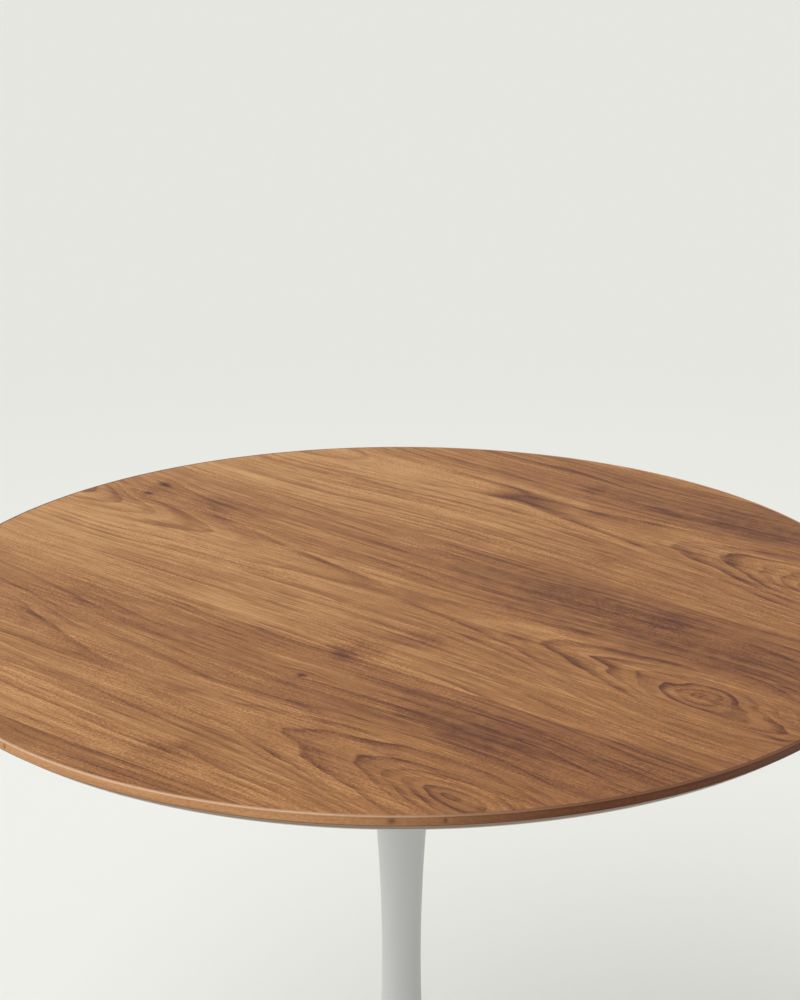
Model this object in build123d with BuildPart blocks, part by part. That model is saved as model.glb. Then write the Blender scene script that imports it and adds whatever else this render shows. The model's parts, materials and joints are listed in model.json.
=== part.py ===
from build123d import *
import os

# Round pedestal table: a veneered top on a flared stem and foot, with four levelling glides.
# Millimetres, +Z up. The origin is on the floor, on the axis of the table.

# ---- Driving dimensions ----

# Table top, from its face down
TOP_DIAMETER = 1067
TABLE_HEIGHT = 740
FACE_VENEER = 0.6
EDGE_HEIGHT = 10
BEVEL_DROP = 11
BEVEL_INSET = 15
BACKING = 0.8
LIPPING_WIDTH = 3
ARRIS_RADIUS = 1.2

# Veneer leaves, side by side across the grain
GRAIN_ANGLE = -39.2
LEAF_WIDTH = 333
LEAF_SHIFT = 12
LEAVES_EACH_SIDE = 2

# Plate between top and stem
PLATE_DIAMETER = 300
PLATE_THICKNESS = 6
PLATE_CHAMFER = 1.5

# M6 screws from below, through the plate into inserts in the top
PLATE_SCREWS = 8
PLATE_SCREW_CIRCLE = 260
SCREW_RADIUS = 3
SCREW_LENGTH = 15
SCREW_HEAD_RADIUS = 5.25
SCREW_HEAD = 3.3
SCREW_SOCKET = 4
SCREW_SOCKET_DEPTH = 2
SCREW_WASHER = 1.6
INSERT_RADIUS = 4.5
INSERT_LENGTH = 10

# Flared stem and foot: waist as radius and height, slope as rise over run at the rim. The curve
# below the waist is pulled by a neck point, a share of the waist's height up, and by an ankle
# point, a share of the way in from the rim.
WAIST = (22.2, 306)
STEM_TOP_RADIUS = 59
FOOT_DIAMETER = 580
FOOT_SLOPE = 0.123
NECK_LEVEL = 0.2
ANKLE_REACH = 0.85
RIM_ROUND = 3.5
RIM_BOTTOM = 5
RIM_TOP = 13
WALL = 6
NECK_SINK = 0.6
ANKLE_SHIFT = 0.3
FLANGE = 12
SEAM_HEIGHT = 100
SEAM_CHAMFER = 0.6
CAVITY_RADIUS = 268
RIBS = 8
RIB_THICKNESS = 6
RIB_START = 70

# M12 tie rod, with a thin nut above and a full nut below
ROD_RADIUS = 6
ROD_END = 1
ROD_WASHER = 2.5
ROD_WASHER_RADIUS = 12
THIN_NUT = 6
FULL_NUT = 10.8
NUT_FLATS = 18
POCKET_RADIUS = 30

# Dowels that stop plate, stem and foot from turning on each other
DOWEL_RADIUS = 3
DOWEL_CIRCLE = 80
DOWEL_DEPTH = 8

# Cover under the foot, with M4 countersunk screws into the ribs
COVER_RADIUS = 262
COVER_THICKNESS = 2
COVER_RECESS = 1
COVER_SCREWS = 4
COVER_SCREW_CIRCLE = 300
COVER_SCREW_RADIUS = 2
COVER_SCREW_LENGTH = 10
COVER_SCREW_SOCKET = 2.5
COVER_SOCKET_DEPTH = 1.25
COVER_HEAD_RADIUS = 3.8
COVER_BOSS_RADIUS = 6
GLIDE_OPENING = 10

# Levelling glides: M8 studs whose heads turn in capped nylon soles
GLIDES = 4
GLIDE_CIRCLE = 480
GLIDE_BOSS_RADIUS = 13
SOLE_RADIUS = 15
SOLE_HEIGHT = 3.5
SOLE_CHAMFER = 0.8
CAP_RADIUS = 14
CAP_THICKNESS = 1
CUP_DEPTH = 1.5
STUD_RADIUS = 4
STUD_TOP = 16.4
STUD_HEAD_RADIUS = 7
STUD_HEAD = 1.3
STUD_POINT = 0.8
HEX_FLATS = 13
HEX_BOTTOM = 5
HEX_TOP = 7.5

# Gaps all round a thread in its hole, a screw in its hole, and a stud's head in its cup, and
# the room above a stud's point
THREAD_GAP = 0.05
SCREW_GAP = 0.3
CUP_GAP = 0.3
POINT_GAP = 0.5

# ---- Levels and places that follow from them ----

TOP_RADIUS = TOP_DIAMETER / 2
PANEL_RADIUS = TOP_RADIUS - LIPPING_WIDTH
CORE_TOP = TABLE_HEIGHT - FACE_VENEER
BEVEL_TOP = TABLE_HEIGHT - EDGE_HEIGHT
UNDERSIDE = BEVEL_TOP - BEVEL_DROP
PLATE_BOTTOM = UNDERSIDE - PLATE_THICKNESS
SCREW_SEAT = PLATE_BOTTOM - SCREW_WASHER
HUB_BOTTOM = SEAM_HEIGHT - FLANGE
COVER_BOTTOM = RIM_BOTTOM + COVER_RECESS
RIB_BOTTOM = COVER_BOTTOM + COVER_THICKNESS
CUP_BOTTOM = SOLE_HEIGHT - CUP_DEPTH
GLIDE_HOLE_TOP = STUD_TOP + POINT_GAP

# The glides stand on the diagonals, and the cover's screws on the axes
GLIDE_PLACES = PolarLocations(GLIDE_CIRCLE / 2, GLIDES, start_angle=180 / GLIDES)
COVER_SCREW_PLACES = PolarLocations(COVER_SCREW_CIRCLE / 2, COVER_SCREWS)
PLATE_SCREW_PLACES = PolarLocations(PLATE_SCREW_CIRCLE / 2, PLATE_SCREWS, start_angle=180 / PLATE_SCREWS)
DOWEL_PLACES = PolarLocations(DOWEL_CIRCLE / 2, 2)


def write(builder, label):
    """Name a finished piece and write its file."""
    builder.part.label = label
    export_step(builder.part, f"parts/{label}.step")


def flared_solid(depth, low, high):
    """Stem and foot between two heights as one solid, its skin this deep in the outer one."""
    waist = Vector(*WAIST)
    rim = Vector(FOOT_DIAMETER / 2 - RIM_ROUND, RIM_TOP)
    neck = Vector(waist.X, NECK_LEVEL * waist.Y)
    ankle = rim + Vector(-1, FOOT_SLOPE) * ANKLE_REACH * (rim.X - waist.X)
    throat = Vector(waist.X, (waist.Y + PLATE_BOTTOM) / 2)
    crown = Vector(STEM_TOP_RADIUS, PLATE_BOTTOM)
    sideways = Vector(-depth, 0)
    foot = [
        waist + sideways,
        neck + Vector(-depth, -NECK_SINK * depth),
        ankle + Vector(-ANKLE_SHIFT * depth, -depth),
        rim + Vector(-FOOT_SLOPE * depth, -depth),
    ]
    flare = [waist + sideways, throat + sideways, crown + sideways]
    with BuildPart() as solid:
        with BuildSketch(Plane.XZ):
            with BuildLine():
                Bezier(*foot)
                Bezier(*flare)
                Polyline(flare[-1], (0, PLATE_BOTTOM), (0, RIM_BOTTOM), (rim.X, RIM_BOTTOM))
                if depth:
                    Line((rim.X, RIM_BOTTOM), foot[-1])
                else:
                    TangentArc(foot[-1], (rim.X, RIM_BOTTOM), tangent=(1, -FOOT_SLOPE))
            make_face()
        revolve(axis=Axis.Z)
        split(bisect_by=Plane.XY.offset(low), keep=Keep.TOP)
        split(bisect_by=Plane.XY.offset(high), keep=Keep.BOTTOM)
    return solid.part


os.makedirs("parts", exist_ok=True)

# ---- Table top ----

for leaf in range(-LEAVES_EACH_SIDE, LEAVES_EACH_SIDE + 1):
    middle = Vector(0, LEAF_SHIFT + leaf * LEAF_WIDTH).rotate(Axis.Z, GRAIN_ANGLE)
    with BuildPart() as face_leaf:
        with BuildSketch(Plane.XY.offset(CORE_TOP)):
            Circle(PANEL_RADIUS)
            with Locations(Location(middle, (0, 0, GRAIN_ANGLE))):
                Rectangle(TOP_DIAMETER, LEAF_WIDTH, mode=Mode.INTERSECT)
        extrude(amount=FACE_VENEER)
    write(face_leaf, f"face_leaf_{leaf + LEAVES_EACH_SIDE + 1}")

with BuildPart() as edge_lipping:
    with BuildSketch(Plane.XY.offset(BEVEL_TOP)):
        Circle(TOP_RADIUS)
        Circle(PANEL_RADIUS, mode=Mode.SUBTRACT)
    extrude(amount=EDGE_HEIGHT)
    fillet(edge_lipping.edges().group_by(Axis.Z)[-1].sort_by(SortBy.RADIUS)[-1], ARRIS_RADIUS)
write(edge_lipping, "edge_lipping")

with BuildPart() as core_panel:
    with BuildSketch(Plane.XY.offset(BEVEL_TOP)):
        Circle(PANEL_RADIUS)
    extrude(amount=CORE_TOP - BEVEL_TOP)
write(core_panel, "core_panel")

with BuildPart() as bevel_panel:
    with BuildSketch(Plane.XZ):
        with BuildLine():
            Polyline(
                (0, UNDERSIDE + BACKING),
                (TOP_RADIUS - BEVEL_INSET, UNDERSIDE + BACKING),
                (TOP_RADIUS, BEVEL_TOP),
                (0, BEVEL_TOP),
                close=True,
            )
        make_face()
    revolve(axis=Axis.Z)
    with BuildSketch(Plane.XY.offset(UNDERSIDE)):
        Circle(POCKET_RADIUS)
        with PLATE_SCREW_PLACES:
            Circle(INSERT_RADIUS)
    extrude(amount=EDGE_HEIGHT + BEVEL_DROP, mode=Mode.SUBTRACT)
write(bevel_panel, "bevel_panel")

with BuildPart() as underside_backing:
    with BuildSketch(Plane.XY.offset(UNDERSIDE)):
        Circle(TOP_RADIUS - BEVEL_INSET)
        Circle(POCKET_RADIUS, mode=Mode.SUBTRACT)
        with PLATE_SCREW_PLACES:
            Circle(INSERT_RADIUS, mode=Mode.SUBTRACT)
    extrude(amount=BACKING)
write(underside_backing, "underside_backing")

with BuildPart() as threaded_inserts:
    with BuildSketch(Plane.XY.offset(UNDERSIDE)):
        with PLATE_SCREW_PLACES:
            Circle(INSERT_RADIUS)
            Circle(SCREW_RADIUS + THREAD_GAP, mode=Mode.SUBTRACT)
    extrude(amount=INSERT_LENGTH)
write(threaded_inserts, "threaded_inserts")

# ---- Plate, and what fastens it to the top ----

with BuildPart() as mounting_plate:
    with BuildSketch(Plane.XY.offset(PLATE_BOTTOM)):
        Circle(PLATE_DIAMETER / 2)
        Circle(ROD_RADIUS + SCREW_GAP, mode=Mode.SUBTRACT)
        with PLATE_SCREW_PLACES:
            Circle(SCREW_RADIUS + SCREW_GAP, mode=Mode.SUBTRACT)
        with DOWEL_PLACES:
            Circle(DOWEL_RADIUS, mode=Mode.SUBTRACT)
    extrude(amount=PLATE_THICKNESS)
    chamfer(mounting_plate.edges().group_by(Axis.Z)[0].sort_by(SortBy.RADIUS)[-1], PLATE_CHAMFER)
write(mounting_plate, "mounting_plate")

with BuildPart() as plate_washers:
    with BuildSketch(Plane.XY.offset(PLATE_BOTTOM)):
        with PLATE_SCREW_PLACES:
            Circle(2 * SCREW_RADIUS)
            Circle(SCREW_RADIUS + SCREW_GAP, mode=Mode.SUBTRACT)
    extrude(amount=-SCREW_WASHER)
write(plate_washers, "plate_washers")

with BuildPart() as plate_screws:
    with BuildSketch(Plane.XY.offset(SCREW_SEAT)):
        with PLATE_SCREW_PLACES:
            Circle(SCREW_HEAD_RADIUS)
    extrude(amount=-SCREW_HEAD)
    fillet(plate_screws.edges().group_by(Axis.Z)[0], SCREW_HEAD / 2)
    with BuildSketch(Plane.XY.offset(SCREW_SEAT)):
        with PLATE_SCREW_PLACES:
            Circle(SCREW_RADIUS)
    extrude(amount=SCREW_LENGTH)
    with BuildSketch(Plane.XY.offset(SCREW_SEAT - SCREW_HEAD)):
        with PLATE_SCREW_PLACES:
            RegularPolygon(SCREW_SOCKET / 2, 6, major_radius=False)
    extrude(amount=SCREW_SOCKET_DEPTH, mode=Mode.SUBTRACT)
write(plate_screws, "plate_screws")

# ---- Stem and foot, cast hollow ----

stem_skin = flared_solid(0, SEAM_HEIGHT, PLATE_BOTTOM)
stem_bore = flared_solid(WALL, SEAM_HEIGHT + FLANGE, PLATE_BOTTOM - FLANGE)

with BuildPart() as stem_casting:
    add(stem_skin)
    chamfer(stem_casting.edges().group_by(Axis.Z)[0], SEAM_CHAMFER)
    add(stem_bore, mode=Mode.SUBTRACT)
    with BuildSketch(Plane.XY.offset(SEAM_HEIGHT)):
        Circle(ROD_RADIUS + SCREW_GAP)
    extrude(amount=PLATE_BOTTOM - SEAM_HEIGHT, mode=Mode.SUBTRACT)
    with BuildSketch(Plane.XY.offset(SEAM_HEIGHT), Plane.XY.offset(PLATE_BOTTOM - DOWEL_DEPTH)):
        with DOWEL_PLACES:
            Circle(DOWEL_RADIUS)
    extrude(amount=DOWEL_DEPTH, mode=Mode.SUBTRACT)
write(stem_casting, "stem_casting")

# The hollow of the foot, less its ribs, the bosses for the glides and those for the cover
with BuildPart() as foot_hollow:
    add(flared_solid(WALL, RIM_BOTTOM, HUB_BOTTOM))
    with BuildSketch(Plane.XY):
        Circle(CAVITY_RADIUS)
    extrude(amount=HUB_BOTTOM, mode=Mode.INTERSECT)
    with BuildSketch(Plane.XY.offset(RIB_BOTTOM)):
        with PolarLocations(RIB_START, RIBS):
            Rectangle(FOOT_DIAMETER / 2, RIB_THICKNESS, align=(Align.MIN, Align.CENTER))
        with GLIDE_PLACES:
            Circle(GLIDE_BOSS_RADIUS)
        with COVER_SCREW_PLACES:
            Circle(COVER_BOSS_RADIUS)
    extrude(amount=HUB_BOTTOM, mode=Mode.SUBTRACT)

with BuildPart() as foot_casting:
    add(flared_solid(0, RIM_BOTTOM, SEAM_HEIGHT))
    chamfer(foot_casting.edges().group_by(Axis.Z)[-1], SEAM_CHAMFER)
    add(foot_hollow.part, mode=Mode.SUBTRACT)
    with BuildSketch(Plane.XY.offset(SEAM_HEIGHT)):
        Circle(ROD_RADIUS + SCREW_GAP)
    extrude(amount=-FLANGE, mode=Mode.SUBTRACT)
    with BuildSketch(Plane.XY.offset(SEAM_HEIGHT)):
        with DOWEL_PLACES:
            Circle(DOWEL_RADIUS)
    extrude(amount=-DOWEL_DEPTH, mode=Mode.SUBTRACT)
    with BuildSketch(Plane.XY.offset(RIB_BOTTOM)):
        with GLIDE_PLACES:
            Circle(STUD_RADIUS + THREAD_GAP)
    extrude(amount=GLIDE_HOLE_TOP - RIB_BOTTOM, mode=Mode.SUBTRACT)
    with BuildSketch(Plane.XY.offset(RIB_BOTTOM)):
        with COVER_SCREW_PLACES:
            Circle(COVER_SCREW_RADIUS)
    extrude(amount=COVER_SCREW_LENGTH, mode=Mode.SUBTRACT)
write(foot_casting, "foot_casting")

with BuildPart() as locating_dowels:
    with BuildSketch(Plane.XY.offset(SEAM_HEIGHT - DOWEL_DEPTH)):
        with DOWEL_PLACES:
            Circle(DOWEL_RADIUS)
    extrude(amount=2 * DOWEL_DEPTH)
    with BuildSketch(Plane.XY.offset(PLATE_BOTTOM - DOWEL_DEPTH)):
        with DOWEL_PLACES:
            Circle(DOWEL_RADIUS)
    extrude(amount=DOWEL_DEPTH + PLATE_THICKNESS)
write(locating_dowels, "locating_dowels")

# ---- Tie rod ----

ROD_BOTTOM = HUB_BOTTOM - ROD_WASHER - FULL_NUT - ROD_END
ROD_TOP = UNDERSIDE + ROD_WASHER + THIN_NUT + ROD_END

with BuildPart() as tie_rod:
    with BuildSketch(Plane.XY.offset(ROD_BOTTOM)):
        Circle(ROD_RADIUS)
    extrude(amount=ROD_TOP - ROD_BOTTOM)
    chamfer(tie_rod.edges().filter_by(GeomType.CIRCLE), ROD_END)
write(tie_rod, "tie_rod")

with BuildPart() as tie_rod_washers:
    for seat in (HUB_BOTTOM - ROD_WASHER, UNDERSIDE):
        with BuildSketch(Plane.XY.offset(seat)):
            Circle(ROD_WASHER_RADIUS)
            Circle(ROD_RADIUS + SCREW_GAP, mode=Mode.SUBTRACT)
        extrude(amount=ROD_WASHER)
write(tie_rod_washers, "tie_rod_washers")

with BuildPart() as tie_rod_nuts:
    for seat, height in ((HUB_BOTTOM - ROD_WASHER, -FULL_NUT), (UNDERSIDE + ROD_WASHER, THIN_NUT)):
        with BuildSketch(Plane.XY.offset(seat)):
            RegularPolygon(NUT_FLATS / 2, 6, major_radius=False)
            Circle(ROD_RADIUS + THREAD_GAP, mode=Mode.SUBTRACT)
        extrude(amount=height)
write(tie_rod_nuts, "tie_rod_nuts")

# ---- Cover under the foot ----

with BuildPart() as foot_cover:
    with BuildSketch(Plane.XY.offset(COVER_BOTTOM)):
        Circle(COVER_RADIUS)
        with GLIDE_PLACES:
            Circle(GLIDE_OPENING, mode=Mode.SUBTRACT)
    extrude(amount=COVER_THICKNESS)
    with Locations(Location((0, 0, COVER_BOTTOM), (180, 0, 0))):
        with PolarLocations(COVER_SCREW_CIRCLE / 2, COVER_SCREWS):
            CounterSinkHole(COVER_SCREW_RADIUS, COVER_HEAD_RADIUS, counter_sink_angle=90)
write(foot_cover, "foot_cover")

with BuildPart() as cover_screws:
    with BuildSketch(Plane.XY.offset(COVER_BOTTOM)):
        with COVER_SCREW_PLACES:
            Circle(COVER_HEAD_RADIUS)
    extrude(amount=COVER_HEAD_RADIUS - COVER_SCREW_RADIUS, taper=45)
    with BuildSketch(Plane.XY.offset(COVER_BOTTOM)):
        with COVER_SCREW_PLACES:
            Circle(COVER_SCREW_RADIUS)
    extrude(amount=COVER_SCREW_LENGTH)
    with BuildSketch(Plane.XY.offset(COVER_BOTTOM)):
        with COVER_SCREW_PLACES:
            RegularPolygon(COVER_SCREW_SOCKET / 2, 6, major_radius=False)
    extrude(amount=COVER_SOCKET_DEPTH, mode=Mode.SUBTRACT)
write(cover_screws, "cover_screws")

# ---- Levelling glides ----

for number, place in enumerate(GLIDE_PLACES, start=1):
    across = Vector(place.position)
    with BuildPart() as glide_sole:
        with BuildSketch(Plane(across)):
            Circle(SOLE_RADIUS)
        extrude(amount=SOLE_HEIGHT)
        chamfer(glide_sole.edges().group_by(Axis.Z)[0], SOLE_CHAMFER)
        with BuildSketch(Plane(across).offset(CUP_BOTTOM)):
            Circle(STUD_HEAD_RADIUS + CUP_GAP)
        extrude(amount=CUP_DEPTH, mode=Mode.SUBTRACT)
    write(glide_sole, f"glide_sole_{number}")

    with BuildPart() as glide_cap:
        with BuildSketch(Plane(across).offset(SOLE_HEIGHT)):
            Circle(CAP_RADIUS)
            Circle(STUD_RADIUS + CUP_GAP, mode=Mode.SUBTRACT)
        extrude(amount=CAP_THICKNESS)
    write(glide_cap, f"glide_cap_{number}")

    with BuildPart() as glide_stud:
        with BuildSketch(Plane(across).offset(CUP_BOTTOM)):
            Circle(STUD_HEAD_RADIUS)
        extrude(amount=STUD_HEAD)
        with BuildSketch(Plane(across).offset(CUP_BOTTOM)):
            Circle(STUD_RADIUS)
        extrude(amount=STUD_TOP - CUP_BOTTOM)
        chamfer(glide_stud.edges().group_by(Axis.Z)[-1], STUD_POINT)
        with BuildSketch(Plane(across).offset(HEX_BOTTOM)):
            RegularPolygon(HEX_FLATS / 2, 6, major_radius=False)
        extrude(amount=HEX_TOP - HEX_BOTTOM)
    write(glide_stud, f"glide_stud_{number}")
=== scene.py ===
import json
import math

import bmesh
import bpy
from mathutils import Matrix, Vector


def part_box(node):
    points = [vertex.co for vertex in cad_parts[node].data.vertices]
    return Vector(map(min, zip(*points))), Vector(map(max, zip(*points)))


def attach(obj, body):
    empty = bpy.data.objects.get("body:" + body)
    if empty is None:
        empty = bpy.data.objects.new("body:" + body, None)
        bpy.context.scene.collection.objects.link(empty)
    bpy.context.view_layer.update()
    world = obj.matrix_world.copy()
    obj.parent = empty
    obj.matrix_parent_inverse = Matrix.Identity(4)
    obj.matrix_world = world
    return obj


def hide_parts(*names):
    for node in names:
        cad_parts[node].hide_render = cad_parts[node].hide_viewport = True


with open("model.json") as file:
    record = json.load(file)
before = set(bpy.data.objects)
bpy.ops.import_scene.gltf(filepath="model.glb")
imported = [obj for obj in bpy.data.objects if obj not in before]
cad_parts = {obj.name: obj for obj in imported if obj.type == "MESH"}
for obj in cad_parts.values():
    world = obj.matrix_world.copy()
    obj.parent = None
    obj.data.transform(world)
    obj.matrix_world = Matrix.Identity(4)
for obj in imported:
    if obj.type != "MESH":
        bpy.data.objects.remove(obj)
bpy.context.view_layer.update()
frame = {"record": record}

# Metres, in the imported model's own frame: +Z up, the origin on the floor on the table's axis.

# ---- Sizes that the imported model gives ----

PANEL_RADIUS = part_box("core_panel")[1].x
TOP_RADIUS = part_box("edge_lipping")[1].x
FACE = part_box("edge_lipping")[1].z
EDGE_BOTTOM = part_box("edge_lipping")[0].z
LEAF_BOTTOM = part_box("face_leaf_3")[0].z
BACKING_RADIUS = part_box("underside_backing")[1].x
BACKING_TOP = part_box("underside_backing")[1].z
BACKING_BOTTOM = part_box("underside_backing")[0].z
PLATE_LOW, PLATE_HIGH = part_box("mounting_plate")
STEM_LOW, STEM_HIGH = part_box("stem_casting")
FOOT_LOW, FOOT_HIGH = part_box("foot_casting")
COVER_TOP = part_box("foot_cover")[1].z

# ---- Sizes that the model's shape follows, as in the CAD ----

ARRIS_RADIUS = 0.0012
LOW_ARRIS_RADIUS = 0.0009
GRAIN_ANGLE = math.radians(-39.2)
LEAVES = 5
LEAF_WIDTH = 0.333
LEAF_SHIFT = 0.012
WAIST = Vector((0.0222, 0.306))
RIM_ROUND = 0.0035
RIM_TOP = 0.013
FOOT_SLOPE = 0.123
WALL = 0.006
FLANGE = 0.012
CAVITY_RADIUS = 0.268
SEAM_CHAMFER = 0.0006

# The curve from waist to rim has two middle points: the upper at this share of the waist's height,
# the lower at this share of the way in from the rim. For a skin deeper inside, the upper one sinks
# and the lower one shifts inwards by these shares of the depth
UPPER_LEVEL = 0.2
UPPER_SINK = 0.6
LOWER_REACH = 0.85
LOWER_SHIFT = 0.3

PLATE_CHAMFER = 0.0015
ROD_HOLE = 0.0063
RIBS = 8
RIB_THICKNESS = 0.006
RIB_START = 0.070
COVER_SCREW_CIRCLE = 0.150
COVER_SCREW_HOLE = 0.002
COVER_BOSS = 0.006
POCKET_RADIUS = 0.030

# How far ribs and bosses run into the wall above them and into each other
SINK = 0.001

# Glides: M8 coarse thread, and a hexagon for a 13 mm spanner
GLIDES = 4
GLIDE_BOSS = 0.013
GLIDE_HOLE = 0.00405
SOLE_ROUND = 0.0008
SOLE_EASE = 0.0003
CUP_RADIUS = 0.0073
CAP_HOLE = 0.0043
CAP_ROUND = 0.0004
STUD_HEAD_RADIUS = 0.007
STUD_HEAD = 0.0013
HEX_FLATS = 0.013
HEX_BOTTOM = 0.005
HEX_TOP = 0.0075
HEX_CONE = 0.0006
HEX_CONE_RADIUS = HEX_FLATS / 2 * 0.97
HEX_CONE_SLOPE = math.tan(math.radians(30))
THREAD_PITCH = 0.00125
THREAD_RADIUS = 0.00395
THREAD_DEPTH = 0.00077

# Shares of half the pitch that the thread's flat root and its sloping flank take
THREAD_ROOT = 0.08
THREAD_FLANK = 0.80

# Steps in a full turn of each kind of piece, and in one pitch's height of the thread
STEPS = 720
PLATE_STEPS = 360
STEM_STEPS = 240
FOOT_STEPS = 480
GLIDE_BOSS_STEPS = 64
COVER_BOSS_STEPS = 48
GLIDE_STEPS = 96
HEAD_STEPS = 64
STUD_STEPS = 48
PITCH_STEPS = 12

# The least steps along a leaf's curved ends, and the steps in each rounded corner and in the
# hexagon's cones
LEAF_STEPS = 8
ARRIS_STEPS = 8
LOW_ARRIS_STEPS = 6
RIM_STEPS = 16
ROUND_STEPS = 6
EASE_STEPS = 4
CONE_STEPS = 5

# Lengths too small to count
TINY = 1e-6
ON_AXIS = 1e-7


# ---- Mesh helpers ----


def new_piece(name, mesh_builder, material, crease_angle=35):
    """A smooth-shaded object of this bmesh, with its creases kept sharp."""
    mesh = bpy.data.meshes.new(name)
    bmesh.ops.recalc_face_normals(mesh_builder, faces=mesh_builder.faces)
    mesh_builder.to_mesh(mesh)
    mesh_builder.free()
    for polygon in mesh.polygons:
        polygon.use_smooth = True
    mesh.set_sharp_from_angle(angle=math.radians(crease_angle))
    piece = bpy.data.objects.new(name, mesh)
    bpy.context.scene.collection.objects.link(piece)
    mesh.materials.append(material)
    return piece


def add_turned(build, outline, centre=(0, 0), steps=STEPS):
    """Add a closed outline of (radius, height) points, turned about an upright axis."""
    columns = []
    for step in range(steps):
        turn = 2 * math.pi * step / steps
        columns.append([
            None if radius < ON_AXIS else build.verts.new(
                (centre[0] + radius * math.cos(turn), centre[1] + radius * math.sin(turn), height))
            for radius, height in outline
        ])
    tips = [
        build.verts.new((centre[0], centre[1], height)) if radius < ON_AXIS else None
        for radius, height in outline
    ]
    count = len(outline)
    for step in range(steps):
        here, there = columns[step], columns[(step + 1) % steps]
        for low in range(count):
            high = (low + 1) % count
            corners = [
                here[low] or tips[low], there[low] or tips[low],
                there[high] or tips[high], here[high] or tips[high],
            ]
            corners = list(dict.fromkeys(corners))
            if len(corners) > 2:
                build.faces.new(corners)


def add_column(build, levels, radius_at, centre, steps):
    """Add an upright column whose radius follows its turn and its height, closed at both ends."""
    rings = []
    for height in levels:
        ring = []
        for step in range(steps):
            turn = 2 * math.pi * step / steps
            radius = radius_at(turn, height)
            ring.append(build.verts.new(
                (centre[0] + radius * math.cos(turn), centre[1] + radius * math.sin(turn), height)))
        rings.append(ring)
    build.faces.new(rings[0])
    build.faces.new(rings[-1])
    for low, high in zip(rings, rings[1:]):
        for step in range(steps):
            after = (step + 1) % steps
            build.faces.new((low[step], low[after], high[after], high[step]))


def add_plate(build, outline, turn, thickness):
    """Add an upright plate with an outline of (radius, height) points, standing out at this turn."""
    along = Vector((math.cos(turn), math.sin(turn), 0))
    across = Vector((-math.sin(turn), math.cos(turn), 0)) * thickness / 2
    sides = []
    for side in (-across, across):
        sides.append([
            build.verts.new(along * radius + side + Vector((0, 0, height))) for radius, height in outline])
    build.faces.new(sides[0])
    build.faces.new(sides[1])
    for here in range(len(outline)):
        there = (here + 1) % len(outline)
        build.faces.new((sides[0][here], sides[0][there], sides[1][there], sides[1][here]))


def ring_solid(name, outline, material, centre=(0, 0), steps=STEPS):
    """A piece made of one turned outline."""
    build = bmesh.new()
    add_turned(build, outline, centre, steps)
    return new_piece(name, build, material)


def bezier(points, count):
    """Points along a Bezier curve of any degree."""
    found = []
    for step in range(count + 1):
        share = step / count
        level = [Vector(p) for p in points]
        while len(level) > 1:
            level = [a.lerp(b, share) for a, b in zip(level, level[1:])]
        found.append(level[0])
    return found


def arc(centre, radius, start, end, count):
    """Points on an arc, with its angles in degrees."""
    return [
        Vector((centre[0] + radius * math.cos(math.radians(start + (end - start) * i / count)),
                centre[1] + radius * math.sin(math.radians(start + (end - start) * i / count))))
        for i in range(count + 1)
    ]


# ---- Material helpers ----


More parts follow.
